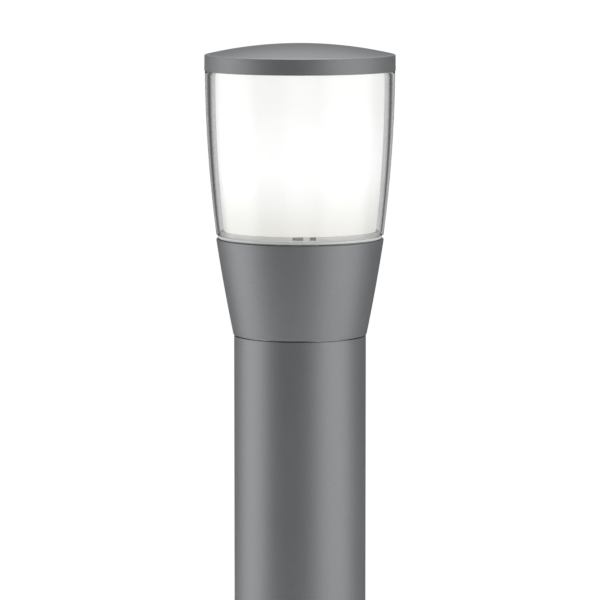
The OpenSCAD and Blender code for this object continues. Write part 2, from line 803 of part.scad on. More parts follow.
module base_plate() color("dimgray")
    difference() {
        lathe(concat(
            [[conduit_d / 2, 0], [base_r - 1, 0], [base_r, 1], [base_r, base_edge_h - 2]],
            arc_about([base_r - 2, base_edge_h - 2], 2, 0, 80),
            [[62, base_h], [spigot_r, base_h], [spigot_r, base_h + spigot_h - 1]],
            [[spigot_r - 1, base_h + spigot_h], [spigot_ir, base_h + spigot_h], [spigot_ir, base_h]],
            [[conduit_d / 2, base_h]]
        ));
        for (a = [45:90:315]) rotate([0, 0, a])
            translate([base_pcd / 2, 0, -1]) cylinder(d = base_hole_d, h = base_h + 2);
        at_angles(base_screw_angles) radially(40, base_screw_z) cylinder(r = 3, h = 20);
    }

module base_screws() color("silver")
    at_angles(base_screw_angles) radially(post_r - 0.55, base_screw_z) flat_screw(5.9, 9, 10.8, 4.6);

cap();
cap_bond();
reflector_disc();
reflector_screw();
clear_shell();
opal_shell();
neck_ring();
neck_bond();
head_seal();
collar();
head_set_screws();
collar_screws();
collar_washers();
holder_bracket();
bracket_screws();
holder_nipple();
holder_body();
holder_sleeve();
holder_contact();
collar_gland();
collar_gland_nut();
lamp_contact();
lamp_insulator();
lamp_screw_cap();
lamp_body();
lamp_led_board();
lamp_dome();
post_ring();
post_tube();
service_door();
door_screws();
door_bridges();
door_seal();
equipment_rail();
junction_box();
junction_box_lid();
lid_screws();
box_seal();
terminal_block();
terminal_screws();
fuse_carrier();
fuse_link();
supply_glands();
lead_gland();
lamp_lead();
lead_cores();
earth_stud();
earth_nuts();
base_plate();
base_screws();
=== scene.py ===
"""The bollard light's looks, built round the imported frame. Metres, +Z up, and the front faces -Y."""

import json
import math

import bmesh
import bpy
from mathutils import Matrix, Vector


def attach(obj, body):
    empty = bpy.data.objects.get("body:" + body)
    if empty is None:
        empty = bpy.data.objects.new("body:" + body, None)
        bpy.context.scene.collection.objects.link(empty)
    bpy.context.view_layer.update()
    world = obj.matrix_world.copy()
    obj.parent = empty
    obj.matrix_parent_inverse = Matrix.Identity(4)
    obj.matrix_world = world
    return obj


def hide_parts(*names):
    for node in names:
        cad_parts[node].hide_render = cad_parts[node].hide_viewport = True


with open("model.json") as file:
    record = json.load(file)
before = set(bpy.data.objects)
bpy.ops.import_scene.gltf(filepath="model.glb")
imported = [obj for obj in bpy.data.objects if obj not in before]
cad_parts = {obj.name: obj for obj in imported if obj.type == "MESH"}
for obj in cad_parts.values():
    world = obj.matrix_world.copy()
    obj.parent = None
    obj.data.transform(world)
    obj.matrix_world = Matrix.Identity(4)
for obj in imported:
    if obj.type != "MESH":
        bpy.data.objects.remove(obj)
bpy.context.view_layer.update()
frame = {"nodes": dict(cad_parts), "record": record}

MM = 0.001
SLIVER = 1e-6  # Points of a cut mesh that are closer than this, in metres, become one
SHARP = 32  # Edges that turn by more than this, in degrees, are shaded sharp


def size_of(node):
    """A CAD node's least and greatest radius about the axis and its lowest and highest level, in mm."""
    part = frame["nodes"][node]
    points = [part.matrix_world @ v.co / MM for v in part.data.vertices]
    radii = [math.hypot(p.x, p.y) for p in points]
    levels = [p.z for p in points]
    return [round(value, 2) for value in (min(radii), max(radii), min(levels), max(levels))]


# Radii and levels that more than one piece uses, in millimetres
POST_IR, POST_R, BASE_TOP, POST_TOP = size_of("post_tube")
COLLAR_Z, COLLAR_TOP = size_of("collar")[2:]
FLOOR_TOP = size_of("collar_washers")[2]
FLANGE_Z = size_of("head_seal")[3]
SHELL_Z = size_of("clear_shell")[2]
CAP_Z = size_of("cap")[2]
BAND_TOP = CAP_Z + 13.3
RIM_R = size_of("neck_bond")[0]
LAMP_Z = size_of("lamp_contact")[2]
DOME_R = 344.6
SHELL_SIDE_R, COLLAR_SIDE_R = 1143, 1590
DOOR_GAP, DOOR_W, DOOR_CORNER = 1.0, 62.0, 8.0
DOOR_Z, DOOR_TOP = size_of("service_door")[2] - DOOR_GAP, size_of("service_door")[3] + DOOR_GAP
DOOR_H = DOOR_TOP - DOOR_Z
DOOR_ANGLE, DOOR_SCREW_ZS = 90, (DOOR_Z + 13, DOOR_TOP - 13)
BASE_SCREW_Z, BASE_SCREW_ANGLES = 28, (90, 210, 330)
SET_SCREW_R, SET_SCREW_Z, SET_SCREW_ANGLES = 63.45, COLLAR_TOP - 9.5, (30, 150)
THREAD_PITCH, THREAD_DEPTH = 3.629, 1.1


# ---- Outlines, in millimetres, as (radius, height) ----


def arc_between(a, b, r, n):
    """Points along an arc of radius r from a to b, bulging away from the axis when b is above a."""
    dx, dz = b[0] - a[0], b[1] - a[1]
    d = math.hypot(dx, dz)
    ux, uz = dx / d, dz / d
    h = math.sqrt(r * r - d * d / 4)
    cx, cz = (a[0] + b[0]) / 2 - uz * h, (a[1] + b[1]) / 2 + ux * h
    t0 = math.atan2(a[1] - cz, a[0] - cx)
    t1 = math.atan2(b[1] - cz, b[0] - cx)
    steps = [t0 + (t1 - t0) * i / n for i in range(n + 1)]
    return [(cx + r * math.cos(t), cz + r * math.sin(t)) for t in steps]


def arc_about(c, r, t0, t1, n=6):
    steps = [math.radians(t0 + (t1 - t0) * i / n) for i in range(n + 1)]
    return [(c[0] + r * math.cos(t), c[1] + r * math.sin(t)) for t in steps]


def dome(z, r, x0, x1, n=32):
    """Points of a dome of radius r with its apex at z, from radius x0 to x1."""
    xs = [x0 + (x1 - x0) * i / n for i in range(n + 1)]
    return [(x, z - r + math.sqrt(r * r - x * x)) for x in xs]


def rounded(points, steps=4):
    """A closed outline whose (x, y, radius) points become rounded corners; (x, y) points stay as they are."""
    out = []
    n = len(points)
    for i, p in enumerate(points):
        if len(p) == 2 or p[2] == 0:
            out.append((p[0], p[1]))
            continue
        at = Vector(p[:2])
        before = Vector(points[i - 1][:2]) - at
        after = Vector(points[(i + 1) % n][:2]) - at
        angle = before.angle(after)
        if angle > math.radians(179):
            out.append((p[0], p[1]))
            continue
        reach = min(p[2] / math.tan(angle / 2), before.length * 0.49, after.length * 0.49)
        a, b = at + before.normalized() * reach, at + after.normalized() * reach
        for k in range(steps + 1):
            t = k / steps
            q = a * (1 - t) ** 2 + at * 2 * t * (1 - t) + b * t * t
            out.append((q.x, q.y))
    return out


# ---- Meshes ----


def new_object(name, mesh, sharp=SHARP):
    piece = bpy.data.objects.new(name, mesh)
    bpy.context.scene.collection.objects.link(piece)
    smooth(piece, sharp)
    return piece


def smooth(piece, sharp=SHARP):
    """Smooth shading, with the edges that turn by more than sharp, in degrees, left sharp."""
    mesh = piece.data
    mesh.polygons.foreach_set("use_smooth", [True] * len(mesh.polygons))
    mesh.set_sharp_from_angle(angle=math.radians(sharp))


def from_bmesh(name, bm, sharp=SHARP):
    bmesh.ops.recalc_face_normals(bm, faces=bm.faces)
    mesh = bpy.data.meshes.new(name)
    bm.to_mesh(mesh)
    bm.free()
    return new_object(name, mesh, sharp)


def lathe(name, outline, turns=160, centre=(0, 0)):
    """The closed outline turned about the vertical line through centre."""
    bm = bmesh.new()
    angles = [2 * math.pi * i / turns for i in range(turns)]
    rings = []
    for r, z in outline:
        if r < 1e-5:
            rings.append([bm.verts.new((centre[0] * MM, centre[1] * MM, z * MM))])
        else:
            rings.append([
                bm.verts.new(((centre[0] + r * math.cos(t)) * MM, (centre[1] + r * math.sin(t)) * MM, z * MM))
                for t in angles
            ])
    for a, b in zip(rings, rings[1:] + rings[:1]):
        for i in range(turns):
            j = (i + 1) % turns
            if len(a) > 1 and len(b) > 1:
                bm.faces.new((a[i], a[j], b[j], b[i]))
            elif len(a) > 1:
                bm.faces.new((a[i], a[j], b[0]))
            elif len(b) > 1:
                bm.faces.new((a[0], b[j], b[i]))
    return from_bmesh(name, bm)


def loft(name, rings, sharp=SHARP, closed=False):
    """A skin over rings of as many points each, in metres, with its ends filled unless it is closed."""
    bm = bmesh.new()
    made = [[bm.verts.new(p) for p in ring] for ring in rings]
    n = len(made[0])
    pairs = list(zip(made, made[1:])) + ([(made[-1], made[0])] if closed else [])
    for a, b in pairs:
        for i in range(n):
            j = (i + 1) % n
            bm.faces.new((a[i], a[j], b[j], b[i]))
    if not closed:
        bm.faces.new(made[0])
        bm.faces.new(made[-1])
    return from_bmesh(name, bm, sharp)


def combine(piece, other, operation="DIFFERENCE"):
    """A boolean, applied at once. The other object is removed."""
    modifier = piece.modifiers.new("combine", "BOOLEAN")
    modifier.object = other
    modifier.operation = operation
    modifier.solver = "EXACT"
    bpy.context.view_layer.update()
    graph = bpy.context.evaluated_depsgraph_get()
    mesh = bpy.data.meshes.new_from_object(piece.evaluated_get(graph))
    bm = bmesh.new()
    bm.from_mesh(mesh)
    bmesh.ops.remove_doubles(bm, verts=bm.verts, dist=SLIVER)
    bmesh.ops.dissolve_degenerate(bm, edges=bm.edges, dist=SLIVER)
    bm.to_mesh(mesh)
    bm.free()
    piece.modifiers.clear()
    old = piece.data
    piece.data = mesh
    bpy.data.meshes.remove(old)
    bpy.data.objects.remove(other)
    smooth(piece)
    return piece


def join(name, pieces):
    """One object from several, all at the origin."""
    bm = bmesh.new()
    for piece in pieces:
        bm.from_mesh(piece.data)
        bpy.data.objects.remove(piece)
    mesh = bpy.data.meshes.new(name)
    bm.to_mesh(mesh)
    bm.free()
    return new_object(name, mesh)


def outward(piece, angle, r, z):
    """Points a piece drawn along +Z away from the axis, its origin at this angle, radius and height."""
    c, s = math.cos(math.radians(angle)), math.sin(math.radians(angle))
    for v in piece.data.vertices:
        p = v.co + Vector((0, 0, r * MM))
        v.co = Vector((p.z * c - p.y * s, p.z * s + p.y * c, -p.x)) + Vector((0, 0, z)) * MM
    piece.data.update()
    return piece


def weighted(piece):
    modifier = piece.modifiers.new("weighted normals", "WEIGHTED_NORMAL")
    modifier.keep_sharp = True
    modifier.weight = 60
    return piece


def rounded_rect(w, h, r, z, per_corner=10, per_side=8):
    """Points round a rounded rectangle in X and Z, centred on x = 0, whose lower edge is at z."""
    out = []
    left, right, low, high = -w / 2 + r, w / 2 - r, z + r, z + h - r
    centres = ((right, high), (left, high), (left, low), (right, low))
    arcs = [arc_about(centre, r, 90 * i, 90 * i + 90, per_corner) for i, centre in enumerate(centres)]
    for arc, ahead in zip(arcs, arcs[1:] + arcs[:1]):
        (x0, z0), (x1, z1) = arc[-1], ahead[0]
        out += arc
        out += [(x0 + (x1 - x0) * k / per_side, z0 + (z1 - z0) * k / per_side) for k in range(1, per_side)]
    return out


def wall_cutter(name, w, h, r, z, surface_r, layers):
    """A cutter along Y, round a rounded rectangle, whose rings follow a cylinder's wall.

    Each layer is how much the rectangle grows there and its depth below surface_r. The first and last
    rings are flat, that far from the wall's crest.
    """
    rings = []
    for i, (grow, depth) in enumerate(layers):
        ring = []
        for x, y in rounded_rect(w + 2 * grow, h + 2 * grow, r + grow, z - grow):
            crest = surface_r if i in (0, len(layers) - 1) else math.sqrt(surface_r ** 2 - x * x)
            ring.append((x * MM, (crest - depth) * MM, y * MM))
        rings.append(ring)
    return loft(name, rings)


def spline(points, per):
    """Catmull-Rom points through the given ones, as part.scad draws its routes."""
    out = []
    n = len(points) - 1
    vs = [Vector(p) for p in points]
    for i in range(n):
        p0, p1, p2, p3 = vs[max(i - 1, 0)], vs[i], vs[i + 1], vs[min(i + 2, n)]
        for k in range(per):
            t = k / per
            out.append(0.5 * (2 * p1 + (p2 - p0) * t + (2 * p0 - 5 * p1 + 4 * p2 - p3) * t * t
                              + (3 * p1 - p0 - 3 * p2 + p3) * t * t * t))
    out.append(vs[-1])
    return out


def swept(name, route, radius, sides, per=8):
    """A round tube along the route's points, in millimetres."""
    points = spline(route, per)
    rings = []
    last = Vector((1, 0, 0))
    for i, p in enumerate(points):
        along = (points[min(i + 1, len(points) - 1)] - points[max(i - 1, 0)]).normalized()
        u = (last - along * last.dot(along)).normalized()
        v = along.cross(u)
        last = u
        rings.append([
            (p + (u * math.cos(t) + v * math.sin(t)) * radius) * MM
            for t in (2 * math.pi * k / sides for k in range(sides))
        ])
    return loft(name, rings, 40)


def threaded(name, node, male, sides=72, per_turn=14):
    """The lamp's rounded thread on a CAD node's tube: outside when male, inside when not."""
    inner, outer, z0, z1 = size_of(node)
    plain_r, crest = (inner, outer) if male else (outer, inner)
    n = math.ceil((z1 - z0) / THREAD_PITCH * per_turn)

    def radius(z, t):
        fade = max(0.0, min(1.0, (z - z0) / THREAD_PITCH, (z1 - z) / THREAD_PITCH))
        wave = 0.5 + 0.5 * math.cos(2 * math.pi * (z - LAMP_Z) / THREAD_PITCH - t)
        if male:
            return crest - THREAD_DEPTH + THREAD_DEPTH * fade * wave
        return crest + THREAD_DEPTH - THREAD_DEPTH * fade * (1 - wave)

    turns = [2 * math.pi * i / sides for i in range(sides)]
    levels = [(z0 + (z1 - z0) * j / n, radius) for j in range(n + 1)]
    levels += [(z, lambda z, t: plain_r) for z in (z1, z0)]
    rings = [
        [(r(z, t) * math.cos(t) * MM, r(z, t) * math.sin(t) * MM, z * MM) for t in turns] for z, r in levels
    ]
    return loft(name, rings, 50, closed=True)


def hex_socket(name, r_across, z0, z1, flare):
    """A six-sided cutter with a flared mouth at z1."""
    rings = []
    for z, r in ((z0, r_across), (z1 - flare, r_across), (z1, r_across + flare), (z1 + 1, r_across + flare)):
        rings.append([
            (r * math.cos(math.pi * i / 3) * MM, r * math.sin(math.pi * i / 3) * MM, z * MM) for i in range(6)
        ])
    return loft(name, rings)


def flat_screw(name, d, length, head_d, key):
    """A countersunk screw pointing down, its head flush with z = 0."""
    cone = (head_d - d) / 2
    outline = rounded([
        (0, -length), (d / 2 - 0.4, -length, 0.1), (d / 2, -length + 0.5, 0.1), (d / 2, -cone - 0.1, 0.2),
        (head_d / 2 - 0.1, -0.25, 0.12), (head_d / 2 - 0.15, 0, 0.1), (0, 0)
    ])
    body = lathe(name, outline, 64)
    return combine(body, hex_socket("socket", r_across=key / 2, z0=-1.7, z1=0.02, flare=0.25))


def ride_as(piece, body, slot, node, material=None):
    """Hands a piece in for a CAD node. Its material is the slot's own unless another is given."""
    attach(piece, body)
    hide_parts(node)
    piece.data.materials.clear()
    piece.data.materials.append(material or MATERIALS[slot])


# ---- Materials ----


class Nodes:
    """Adds nodes to a tree, one line each. A value is a socket to link from, or a constant."""

    def __init__(self, tree):
        self.tree = tree

    def put(self, socket, value):
        if isinstance(value, bpy.types.NodeSocket):
            self.tree.links.new(value, socket)
        else:
            socket.default_value = value

    def add(self, kind, inputs=None, **attributes):
        node = self.tree.nodes.new(kind)
        for key, value in attributes.items():
            setattr(node, key, value)
        for key, value in (inputs or {}).items():
            self.put(node.inputs[key], value)
        return node

    def math(self, operation, a, b=0.0, c=0.0):
        return self.add("ShaderNodeMath", {0: a, 1: b, 2: c}, operation=operation).outputs[0]

    def span(self, value, low, high, to_low, to_high, kind="LINEAR"):
        return self.add("ShaderNodeMapRange", {
            "Value": value, "From Min": low, "From Max": high, "To Min": to_low, "To Max": to_high,
        }, interpolation_type=kind).outputs[0]

    def either(self, factor, a, b):
        """a where the factor is 0, b where it is 1."""
        return self.add("ShaderNodeMix", {0: factor, 2: a, 3: b}, data_type="FLOAT").outputs[0]

    def separate(self, vector):
        return self.add("ShaderNodeSeparateXYZ", {0: vector}).outputs


class Shade(Nodes):
    """A Principled material."""

    def __init__(self, name, colour, roughness, metallic=0.0, **sockets):
        self.material = bpy.data.materials.new(name)
        self.material.use_nodes = True
        self.material.diffuse_color = (*colour, 1)
        super().__init__(self.material.node_tree)
        self.tree.nodes.clear()
        self.bsdf = self.add("ShaderNodeBsdfPrincipled")
        self.add("ShaderNodeOutputMaterial", {"Surface": self.bsdf.outputs[0]})
        self.set("Base Color", (*colour, 1))
        self.set("Roughness", roughness)
        self.set("Metallic", metallic)
        for key, value in sockets.items():
            self.set(key.replace("_", " "), value)
        self.where = self.add("ShaderNodeTexCoord").outputs["Object"]

    def set(self, socket, value):
        self.put(self.bsdf.inputs[socket], value)

    def separate(self, vector=None):
        return super().separate(vector or self.where)

    def scaled(self, x, y, z):
        """Object coordinates stretched by these factors."""
        return self.add("ShaderNodeMapping", {"Vector": self.where, "Scale": (x, y, z)}).outputs[0]

    def noise(self, scale, detail=2.0, roughness=0.5, vector=None):
        return self.add("ShaderNodeTexNoise", {
            "Vector": vector or self.where, "Scale": scale, "Detail": detail, "Roughness": roughness,
        }).outputs[0]

    def voronoi(self, scale):
        return self.add("ShaderNodeTexVoronoi", {"Vector": self.where, "Scale": scale}).outputs

    def ramp(self, value, stops):
        node = self.add("ShaderNodeValToRGB", {"Fac": value})
        elements = node.color_ramp.elements
        while len(elements) > 1:
            elements.remove(elements[-1])
        for i, (at, colour) in enumerate(stops):
            element = elements[0] if i == 0 else elements.new(at)
            element.position = at
            element.color = (*colour, 1)
        return node.outputs[0]

    def blend(self, factor, a, b):
        """Mixes two colours, each a socket or (r, g, b)."""
        a, b = (c if isinstance(c, bpy.types.NodeSocket) else (*c, 1) for c in (a, b))
        return self.add("ShaderNodeMix", {0: factor, 6: a, 7: b}, data_type="RGBA").outputs[2]

    def radius(self):
        """Distance from the vertical axis."""
        x, y, _ = self.separate()
        return self.math("SQRT", self.math("ADD", self.math("MULTIPLY", x, x), self.math("MULTIPLY", y, y)))

    def rise(self, node):
        """0 at the bottom of a CAD node to 1 at its top."""
        low, high = (level * MM for level in size_of(node)[2:])
        return self.math("DIVIDE", self.math("SUBTRACT", self.separate()[2], low), high - low)

    def by_level(self, low, high, to_low, to_high):
        """A span between two levels, in millimetres."""
        return self.span(self.separate()[2], low * MM, high * MM, to_low, to_high)

    def bump(self, *layers, radius=0.0):
        """Stacked bumps: (height socket, depth in metres). radius rounds the edges a little."""
        normal = None
        if radius:
            normal = self.add("ShaderNodeBevel", {"Radius": radius}, samples=4).outputs[0]
        for height, depth in layers:
            node = self.add("ShaderNodeBump", {"Strength": 1.0, "Distance": depth, "Height": height})
            if normal is not None:
                self.put(node.inputs["Normal"], normal)
            normal = node.outputs[0]
        self.set("Normal", normal)


def powder_coat():
    """Satin metallic powder coat with fine flakes and orange peel, smoother on the dome than on its band."""
    s = Shade("powder_coat", (0.2, 0.206, 0.212), 0.5, 0.57, IOR=1.45)
    cloud = s.noise(14, 3)
    grain = s.noise(900, 3, 0.65)
    flake = s.voronoi(2600)["Color"]
    tint = s.blend(s.span(cloud, 0.3, 0.7, 0.0, 1.0), (0.2, 0.2075, 0.2145), (0.21, 0.2155, 0.2215))
    tint = s.blend(s.span(grain, 0.35, 0.65, 0.0, 0.5), tint, (0.228, 0.2345, 0.2405))
    fleck = s.separate(flake)[0]
    tint = s.blend(s.span(fleck, 0.8, 1.0, 0.0, 0.36), tint, (0.33, 0.337, 0.344))
    s.set("Base Color", tint)
    rough = s.math("ADD", s.span(grain, 0.3, 0.7, 0.445, 0.495), s.span(cloud, 0.3, 0.7, -0.015, 0.015))
    band = s.by_level(CAP_Z - 3.5, CAP_Z - 0.5, 0.0, 0.075)
    top = s.by_level(BAND_TOP - 0.5, BAND_TOP + 0.7, 0.0, 0.215)
    s.set("Roughness", s.math("SUBTRACT", s.math("ADD", rough, band), top))
    s.bump((s.noise(650, 2, 0.5), 0.000009), (s.noise(2800, 2, 0.6), 0.000005), radius=0.0003)
    return s.material


def clear_acrylic():
    s = Shade("clear_acrylic", (0.985, 0.99, 0.99), 0.0, IOR=1.49, Transmission_Weight=1.0)
    return s.material


def opal_acrylic():
    """Glowing opal white: brightest round the middle of the lamp, a little warmer and dimmer at the foot."""
    s = Shade("opal_acrylic", (0.75, 0.75, 0.74), 0.4, IOR=1.49)
    glow = s.ramp(s.rise("opal_shell"), (
        (0.0, (0.71, 0.695, 0.655)), (0.10, (0.765, 0.755, 0.722)), (0.24, (0.868, 0.866, 0.848)),
        (0.38, (0.95, 0.95, 0.94)), (0.62, (0.925, 0.925, 0.915)), (0.80, (0.872, 0.87, 0.855)),
        (1.0, (0.88, 0.875, 0.86)),
    ))
    s.set("Emission Color", glow)
    s.set("Emission Strength", 1.0)
    cloud = s.span(s.noise(30, 2), 0.3, 0.7, 0, 1)
    s.set("Base Color", s.blend(cloud, (0.3, 0.3, 0.295), (0.31, 0.31, 0.305)))
    return s.material


def machined_aluminium(name="machined_aluminium", colour=(0.62, 0.63, 0.64), roughness=0.34):
    """Turned aluminium: fine rings round the vertical axis."""
    s = Shade(name, colour, roughness, 1.0)
    rings = s.add("ShaderNodeCombineXYZ", {0: s.radius(), 1: s.separate()[2], 2: 0.0}).outputs[0]
    fine = s.noise(4200, 3, 0.6, rings)
    stain = s.noise(60, 3)
    s.set("Base Color", s.blend(s.span(stain, 0.35, 0.7, 0, 1), colour, [c * 0.86 for c in colour]))
    s.set("Roughness", s.span(fine, 0.3, 0.7, roughness - 0.06, roughness + 0.1))
    s.bump((fine, 0.000008), radius=0.0002)
    return s.material


def steel(name, colour, roughness, scratch=(40, 40, 900)):
    """Drawn or turned steel with fine directional marks and faint stains."""
    s = Shade(name, colour, roughness, 1.0)
    marks = s.noise(6, 4, 0.6, s.scaled(*scratch))
    stain = s.noise(90, 3, 0.6)
    s.set("Base Color", s.blend(s.span(stain, 0.35, 0.7, 0, 1), colour, [c * 0.8 for c in colour]))
    s.set("Roughness", s.math("ADD", s.span(marks, 0.3, 0.7, roughness - 0.07, roughness + 0.09),
                              s.span(stain, 0.3, 0.7, -0.03, 0.04)))
    s.bump((marks, 0.000006), radius=0.00025)
    return s.material


def zinc():
    """Zinc plate: soft grains of slightly different blue-grey."""
    s = Shade("zinc_plate", (0.55, 0.58, 0.62), 0.36, 1.0)
    cells = s.separate(s.voronoi(260)["Color"])[0]
    cloud = s.noise(45, 4, 0.6)
    tone = s.blend(s.span(cells, 0, 1, 0, 1), (0.50, 0.53, 0.57), (0.62, 0.64, 0.66))
    s.set("Base Color", s.blend(s.span(cloud, 0.45, 0.75, 0, 0.5), tone, (0.60, 0.58, 0.50)))
    s.set("Roughness", s.math("ADD", s.span(cells, 0, 1, 0.30, 0.42), s.span(cloud, 0.3, 0.7, -0.03, 0.05)))
    s.bump((s.noise(1500, 2), 0.000006), radius=0.0003)
    return s.material


def plastic(name, colour, roughness=0.5, texture=1400, depth=0.00001, vary=0.9, **sockets):
    """Moulded plastic with a spark-eroded texture."""
    s = Shade(name, colour, roughness, IOR=1.5, **sockets)
    cloud = s.noise(35, 3)
    grain = s.noise(texture, 2, 0.6)
    s.set("Base Color", s.blend(s.span(cloud, 0.35, 0.7, 0, 1), colour, [c * vary for c in colour]))
    s.set("Roughness", s.math("ADD", s.span(grain, 0.3, 0.7, roughness - 0.05, roughness + 0.06),
                              s.span(cloud, 0.3, 0.7, -0.03, 0.03)))
    s.bump((grain, depth), radius=0.0003)
    return s.material


def ceramic():
    """Glazed ceramic: pooled glaze, tiny specks and a soft waviness."""
    s = Shade("glazed_ceramic", (0.86, 0.85, 0.81), 0.16, IOR=1.5, Coat_Weight=0.6, Coat_Roughness=0.06)
    speck = s.voronoi(420)["Distance"]
    cloud = s.noise(50, 3)
    tone = s.blend(s.span(cloud, 0.35, 0.7, 0, 1), (0.87, 0.86, 0.82), (0.80, 0.785, 0.74))
    s.set("Base Color", s.blend(s.span(speck, 0.0, 0.07, 0.6, 0.0), tone, (0.35, 0.30, 0.24)))
    s.set("Roughness", s.span(cloud, 0.3, 0.7, 0.13, 0.22))
    s.bump((s.noise(160, 2), 0.00003), radius=0.0004)
    return s.material


def rubber(name, colour, roughness=0.7):
    s = Shade(name, colour, roughness, IOR=1.45)
    bloom = s.noise(70, 4, 0.6)
    bloomed = [min(1, c * 1.5 + 0.02) for c in colour]
    s.set("Base Color", s.blend(s.span(bloom, 0.45, 0.8, 0, 1), colour, bloomed))
    s.set("Roughness", s.span(bloom, 0.3, 0.7, roughness - 0.08, roughness + 0.08))
    s.bump((s.noise(1800, 2, 0.6), 0.000015), radius=0.0003)
    return s.material


def silicone():
    s = Shade("silicone", (0.56, 0.56, 0.55), 0.45, IOR=1.41, Subsurface_Weight=0.3)
    s.set("Subsurface Radius", (0.002, 0.002, 0.002))
    smear = s.noise(120, 3, 0.6)
    s.set("Base Color", s.blend(s.span(smear, 0.35, 0.7, 0, 1), (0.60, 0.60, 0.59), (0.46, 0.46, 0.455)))
    s.set("Roughness", s.span(smear, 0.3, 0.7, 0.36, 0.55))
    s.bump((smear, 0.00008), (s.noise(900, 2), 0.00001))
    return s.material


def lamp_glow():
    s = Shade("lamp_diffuser", (0.72, 0.72, 0.70), 0.45, IOR=1.5)
    glow = s.ramp(s.rise("lamp_dome"), (
        (0.0, (0.78, 0.74, 0.66)), (0.5, (0.95, 0.93, 0.88)), (1.0, (1, 0.98, 0.94)),
    ))
    s.set("Emission Color", glow)
    s.set("Emission Strength", 0.12)
    s.set("Roughness", s.span(s.noise(1400, 2), 0.3, 0.7, 0.4, 0.52))
    s.bump((s.noise(2200, 2), 0.000008))
    return s.material


def led_board():
    """A white circuit board with faint copper tracks and solder."""
    s = Shade("led_board", (0.85, 0.85, 0.82), 0.35, IOR=1.5)
    tracks = s.add("ShaderNodeTexWave", {"Vector": s.where, "Scale": 60.0, "Distortion": 6.0, "Detail": 1.0},
                   wave_type="RINGS", rings_direction="Z").outputs[0]
    s.set("Base Color", s.blend(s.span(tracks, 0.45, 0.55, 0, 1), (0.86, 0.86, 0.83), (0.72, 0.72, 0.67)))
    s.set("Roughness", s.span(tracks, 0.4, 0.6, 0.3, 0.42))
    s.bump((tracks, 0.00002), radius=0.0002)
    return s.material


def clear_plastic():
    s = Shade("clear_plastic", (0.86, 0.9, 0.92), 0.08, IOR=1.58, Transmission_Weight=0.93)
    s.set("Roughness", s.span(s.noise(50, 3), 0.3, 0.7, 0.05, 0.14))
    s.bump((s.noise(300, 2), 0.00002), radius=0.0004)
    return s.material


def brass(name, colour=(0.62, 0.44, 0.18), roughness=0.32):
    s = Shade(name, colour, roughness, 1.0)
    tarnish = s.noise(150, 4, 0.6)
    s.set("Base Color", s.blend(s.span(tarnish, 0.4, 0.75, 0, 1), colour, [c * 0.62 for c in colour]))
    s.set("Roughness", s.span(tarnish, 0.3, 0.75, roughness - 0.06, roughness + 0.16))
    s.bump((s.noise(2500, 2), 0.000005), radius=0.0002)
    return s.material


def lit_ring():
    """Pale plastic of the neck ring, whose outside gets a painted glow, standing in for a little of the
    lamp's light that it passes.
    """
    s = Shade("pale_grey_plastic", (0.62, 0.62, 0.61), 0.45, IOR=1.5, Emission_Color=(1, 1, 0.98, 1))
    grain = s.noise(1600, 2, 0.6)
    cloud = s.span(s.noise(35, 3), 0.35, 0.7, 0, 1)
    s.set("Base Color", s.blend(cloud, (0.63, 0.63, 0.62), (0.59, 0.59, 0.58)))
    s.set("Roughness", s.span(grain, 0.3, 0.7, 0.4, 0.5))
    # Painted glow: emission on the ring's outside, stronger above the clear shell's foot than below it
    outside = s.span(s.radius(), (RIM_R - 1.2) * MM, (RIM_R - 0.4) * MM, 0.0, 1.0)
    painted_glow = s.math("MULTIPLY", outside, s.by_level(SHELL_Z - 0.4, SHELL_Z + 0.4, 0.07, 0.29))
    s.set("Emission Strength", painted_glow)
    s.bump((grain, 0.000008), radius=0.0003)
    return s.material


def core_green_yellow():
    """Earth core: green and yellow stripes along the wire."""
    s = Shade("core_green_yellow", (0.1, 0.4, 0.1), 0.35, IOR=1.5)
    x, _, z = s.separate()
    stripe = s.math("SINE", s.math("MULTIPLY", s.math("ADD", x, s.math("MULTIPLY", z, 0.25)), 3400.0))
    s.set("Base Color", s.blend(s.span(stripe, -0.1, 0.1, 0, 1), (0.03, 0.30, 0.06), (0.75, 0.62, 0.03)))
    s.set("Roughness", s.span(s.noise(900, 2), 0.3, 0.7, 0.3, 0.42))
    return s.material


MATERIALS = {
    "coated_aluminium": powder_coat(),
    "clear_acrylic": clear_acrylic(),
    "opal_acrylic": opal_acrylic(),
    "bare_aluminium": machined_aluminium(),
    "silicone": silicone(),
    "black_rubber": rubber("black_rubber", (0.018, 0.018, 0.018)),
    "white_reflector": plastic("white_reflector", (0.84, 0.84, 0.82), 0.42, 700, 0.000012, 0.97),
    "stainless_steel": steel("stainless_steel", (0.50, 0.495, 0.48), 0.30),
    "zinc_steel": zinc(),
    "ceramic": ceramic(),
    "brass": brass("brass"),
    "nickel_brass": brass("nickel_plate", (0.66, 0.64, 0.60), 0.22),
    "black_plastic": plastic("black_plastic", (0.022, 0.022, 0.023), 0.5),
    "white_plastic": plastic("white_plastic", (0.80, 0.80, 0.78), 0.38, 1800, 0.000006, 0.96),
    "lamp_diffuser": lamp_glow(),
    "led_board": led_board(),
    "pale_grey_plastic": lit_ring(),
    "grey_plastic": plastic("grey_plastic", (0.17, 0.175, 0.18), 0.52, 900, 0.00002),
    "clear_plastic": clear_plastic(),
    "core_insulation": plastic("core_blue", (0.03, 0.09, 0.36), 0.35, 1500, 0.000004),
}
CORE_BROWN = plastic("core_brown", (0.13, 0.045, 0.018), 0.35, 1500, 0.000004)
CORE_EARTH = core_green_yellow()


# ---- Camera, lights and stage ----

CAMERA_AT, CAMERA_AIM = (0, -3.4, 1.161), (0, 0, 0.78615)
LIGHTS_AIM = (0, 0, 0.8)


def aimed(data, at, aim):
    """An object for a camera or a light, at one point and turned to another."""
    thing = bpy.data.objects.new(data.name, data)
    bpy.context.scene.collection.objects.link(thing)
    thing.location = at
    thing.rotation_euler = (Vector(aim) - thing.location).to_track_quat("-Z", "Y").to_euler()
    return thing


